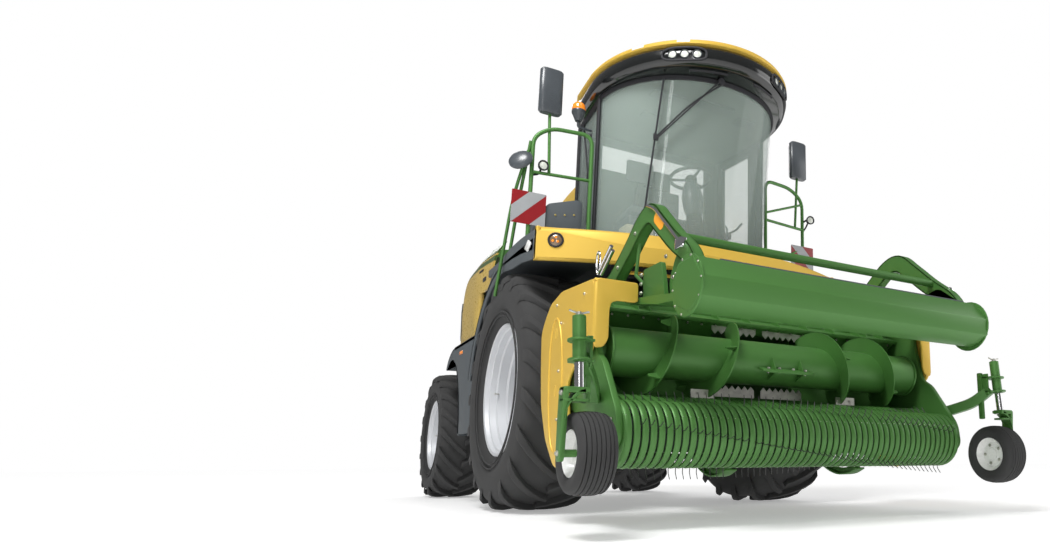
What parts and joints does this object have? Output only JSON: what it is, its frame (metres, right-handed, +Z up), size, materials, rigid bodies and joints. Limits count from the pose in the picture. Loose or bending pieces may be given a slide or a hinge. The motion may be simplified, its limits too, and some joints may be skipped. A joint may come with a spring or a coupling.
{
  "type": "forage harvester",
  "caption": "Self-propelled forage harvester: drive wheels in front, steered wheels behind, glazed cab, lifting pickup header with auger, and a slewing discharge spout.",
  "frame": {"origin": "on the ground under the middle of the machine's length and width", "axes": "+Z up, the machine faces -Y, +X is its left-hand side"},
  "size_m": [3.55, 7.4595, 3.88],
  "materials": {
    "yellow_paint": "gloss ochre yellow paint",
    "green_paint": "satin mid green paint",
    "dark_plastic": "grained dark grey moulding",
    "black_trim": "black cab trim",
    "chassis_paint": "dark chassis paint",
    "tyre_rubber": "ribbed and lugged black rubber",
    "rim_silver": "silver wheel paint",
    "chrome_rod": "hard chrome rod",
    "cab_glass": "lightly green tinted glass",
    "seat_cloth": "dark woven seat cloth"
  },
  "bodies": {
    "chassis": {"main_frame": "chassis_paint", "front_axle": "chassis_paint", "rear_axle": "chassis_paint", "engine": "chassis_paint", "chopper_housing": "green_paint", "platform": "dark_plastic", "ladder_left": "dark_plastic", "front_bumper": "yellow_paint", "front_fender_right": "dark_plastic", "front_fender_left": "dark_plastic", "cab_frame": "black_trim", "cab_roof": "yellow_paint", "windscreen": "cab_glass", "right_window": "cab_glass", "rear_window": "cab_glass", "steering_column": "black_trim", "driver_seat": "seat_cloth", "control_console": "black_trim", "handrail_right": "green_paint", "handrail_left": "green_paint", "engine_hood": "green_paint", "rear_body": "yellow_paint", "rear_fender_right": "dark_plastic", "rear_fender_left": "dark_plastic"},
    "cab_door": {"cab_door": "black_trim", "cab_door_glass": "cab_glass"},
    "header": {"intake_housing": "green_paint", "header_frame": "green_paint", "header_shield_right": "yellow_paint", "header_shield_left": "yellow_paint", "pickup_bands": "green_paint"},
    "pickup_reel": {"pickup_reel": "chassis_paint"},
    "auger": {"auger": "green_paint"},
    "crop_press": {"crop_press": "green_paint"},
    "lift_barrels": {"lift_cylinders": "chassis_paint"},
    "lift_rods": {"lift_rods": "chrome_rod"},
    "spout_turret": {"spout_turret": "yellow_paint"},
    "spout_chute": {"spout_chute": "yellow_paint"},
    "spout_flap": {"spout_flap": "yellow_paint"},
    "spout_barrel": {"spout_cylinder": "chassis_paint"},
    "spout_rod": {"spout_rod": "chrome_rod"},
    "front_wheel_right": {"front_tyre_right": "tyre_rubber", "front_rim_right": "rim_silver"},
    "rear_wheel_right": {"rear_tyre_right": "tyre_rubber", "rear_rim_right": "rim_silver"},
    "knuckle_right": {"knuckle_right": "chassis_paint"},
    "side_panel_right": {"side_panel_right": "yellow_paint"},
    "caster_right": {"caster_right": "green_paint"},
    "gauge_wheel_right": {"gauge_wheel_right": "tyre_rubber"},
    "front_wheel_left": {"front_tyre_left": "tyre_rubber", "front_rim_left": "rim_silver"},
    "rear_wheel_left": {"rear_tyre_left": "tyre_rubber", "rear_rim_left": "rim_silver"},
    "knuckle_left": {"knuckle_left": "chassis_paint"},
    "side_panel_left": {"side_panel_left": "yellow_paint"},
    "caster_left": {"caster_left": "green_paint"},
    "gauge_wheel_left": {"gauge_wheel_left": "tyre_rubber"}
  },
  "joints": [
    {"name": "front_wheel_spin_right", "type": "hinge", "parent": "chassis", "child": "front_wheel_right", "pos_m": [-1.135, -0.76, 0.99], "axis": [1, 0, 0], "continuous": true},
    {"name": "front_wheel_spin_left", "type": "hinge", "parent": "chassis", "child": "front_wheel_left", "pos_m": [1.135, -0.76, 0.99], "axis": [1, 0, 0], "continuous": true},
    {"name": "steer_left", "type": "hinge", "parent": "chassis", "child": "knuckle_left", "pos_m": [0.88, 2.32, 0.715], "axis": [0, 0, 1], "range_deg": [-35, 35]},
    {"name": "rear_wheel_spin_left", "type": "hinge", "parent": "knuckle_left", "child": "rear_wheel_left", "pos_m": [1.16, 2.32, 0.715], "axis": [1, 0, 0], "continuous": true},
    {"name": "steer_right", "type": "hinge", "parent": "chassis", "child": "knuckle_right", "pos_m": [-0.88, 2.32, 0.715], "axis": [0, 0, 1], "range_deg": [-35, 35]},
    {"name": "rear_wheel_spin_right", "type": "hinge", "parent": "knuckle_right", "child": "rear_wheel_right", "pos_m": [-1.16, 2.32, 0.715], "axis": [1, 0, 0], "continuous": true},
    {"name": "header_lift", "type": "hinge", "parent": "chassis", "child": "header", "pos_m": [0, -1.21, 1.15], "axis": [-1, 0, 0], "range_deg": [-5.5, 18]},
    {"name": "lift_cylinder_pivot", "type": "hinge", "parent": "chassis", "child": "lift_barrels", "pos_m": [0, -0.88, 0.62], "axis": [-1, 0, 0], "range_deg": [-3.36, 10.96]},
    {"name": "lift_rod_slide", "type": "slide", "parent": "lift_barrels", "child": "lift_rods", "axis": [0, -0.9915, 0.13], "range_m": [-0.0445, 0.1433]},
    {"name": "auger_spin", "type": "hinge", "parent": "header", "child": "auger", "pos_m": [0, -2.71, 1.075], "axis": [1, 0, 0], "continuous": true},
    {"name": "pickup_spin", "type": "hinge", "parent": "header", "child": "pickup_reel", "pos_m": [0, -3.04, 0.545], "axis": [1, 0, 0], "continuous": true},
    {"name": "crop_press_swing", "type": "hinge", "parent": "header", "child": "crop_press", "pos_m": [0, -2.21, 1.6], "axis": [-1, 0, 0], "range_deg": [-12, 35]},
    {"name": "caster_swivel_right", "type": "hinge", "parent": "header", "child": "caster_right", "pos_m": [-1.681, -3.368, 0.899], "axis": [-0.016, 0.0962, 0.9952], "continuous": true},
    {"name": "gauge_wheel_spin_right", "type": "hinge", "parent": "caster_right", "child": "gauge_wheel_right", "pos_m": [-1.622, -3.366, 0.43], "axis": [1, 0, 0], "continuous": true},
    {"name": "caster_swivel_left", "type": "hinge", "parent": "header", "child": "caster_left", "pos_m": [1.681, -3.368, 0.899], "axis": [0.016, 0.0962, 0.9952], "continuous": true},
    {"name": "gauge_wheel_spin_left", "type": "hinge", "parent": "caster_left", "child": "gauge_wheel_left", "pos_m": [1.622, -3.366, 0.43], "axis": [1, 0, 0], "continuous": true},
    {"name": "spout_slew", "type": "hinge", "parent": "chassis", "child": "spout_turret", "pos_m": [0, 0.19, 2.6], "axis": [0, 0, 1], "range_deg": [-100, 100]},
    {"name": "spout_lift", "type": "hinge", "parent": "spout_turret", "child": "spout_chute", "pos_m": [0, -0.02, 2.98], "axis": [1, 0, 0], "range_deg": [0, 25]},
    {"name": "spout_cylinder_pivot", "type": "hinge", "parent": "spout_turret", "child": "spout_barrel", "pos_m": [0, 0.51, 2.76], "axis": [1, 0, 0], "range_deg": [-0.02, 29.54]},
    {"name": "spout_rod_slide", "type": "slide", "parent": "spout_barrel", "child": "spout_rod", "axis": [0, 0.7962, 0.6051], "range_m": [-0.001, 0.2364]},
    {"name": "spout_flap_tilt", "type": "hinge", "parent": "spout_chute", "child": "spout_flap", "pos_m": [0, 3.34399, 3.23672], "axis": [-1, 0, 0], "range_deg": [0, 45]},
    {"name": "cab_door_hinge", "type": "hinge", "parent": "chassis", "child": "cab_door", "pos_m": [0.85625, -1.165, 2.215], "axis": [0, 0, -1], "range_deg": [0, 75]},
    {"name": "side_panel_hinge_right", "type": "hinge", "parent": "chassis", "child": "side_panel_right", "pos_m": [-1.12, 2.54, 1.62], "axis": [0, 0, -1], "range_deg": [0, 95]},
    {"name": "side_panel_hinge_left", "type": "hinge", "parent": "chassis", "child": "side_panel_left", "pos_m": [1.12, 2.54, 1.62], "axis": [0, 0, 1], "range_deg": [0, 95]}
  ],
  "couplings": [
    {"joint": "steer_right", "follows": "steer_left", "ratio": 1},
    {"joint": "lift_cylinder_pivot", "follows": "header_lift", "ratio": 0.6078},
    {"joint": "lift_rod_slide", "follows": "header_lift", "m_per_rad": 0.4529},
    {"joint": "spout_cylinder_pivot", "follows": "spout_lift", "ratio": 1.1806},
    {"joint": "spout_rod_slide", "follows": "spout_lift", "m_per_rad": 0.5395}
  ]
}
